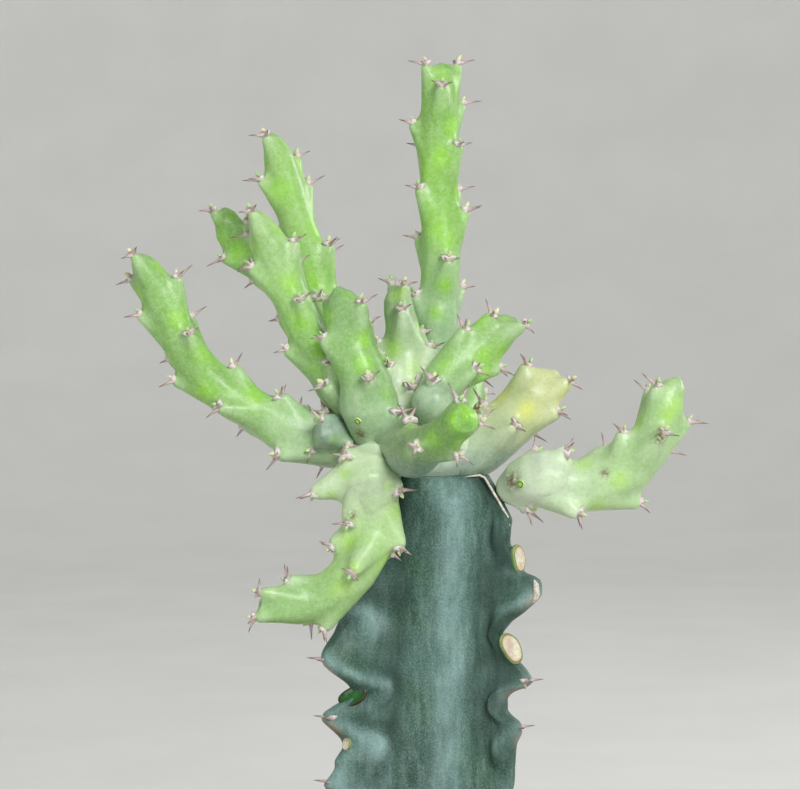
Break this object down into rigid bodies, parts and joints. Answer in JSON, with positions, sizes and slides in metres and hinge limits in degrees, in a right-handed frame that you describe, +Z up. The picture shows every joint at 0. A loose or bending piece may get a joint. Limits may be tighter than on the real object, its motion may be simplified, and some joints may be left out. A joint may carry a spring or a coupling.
{
  "type": "potted succulent",
  "caption": "Potted grafted succulent: knobbly spined stems branch from the top of a three-winged rootstock set in soil in a plain clay pot.",
  "frame": {"origin": "on the floor, at the centre of the underside of the pot", "axes": "+Z up along the pot's axis, +X to the viewer's right, -Y towards the viewer"},
  "size_m": [0.1165, 0.105, 0.2527],
  "materials": {
    "clay": "unglazed fired clay, matt",
    "soil": "dark potting soil with pale grit",
    "stock_skin": "waxy blue-green skin with fine pale specks",
    "green_skin": "smooth yellow-green skin with a pale bloom at the teeth",
    "pale_skin": "older pale green skin with a whitish bloom",
    "yellow_skin": "sun-bleached yellow skin"
  },
  "bodies": {
    "root": {"pot": "clay", "soil": "soil", "rootstock": "stock_skin", "stem_centre": "pale_skin", "stem_tall": "green_skin", "stem_left_upper": "green_skin", "stem_front": "green_skin", "stem_right_upper": "green_skin", "stem_right_long": "pale_skin", "stem_low_left": "pale_skin", "stem_left_long": "green_skin", "stem_left_front": "green_skin", "stem_yellow": "yellow_skin", "stem_knob": "green_skin", "stem_back_left": "green_skin", "stem_far_back": "green_skin", "stem_rear_right": "green_skin", "stem_rear_low": "green_skin"}
  },
  "joints": []
}
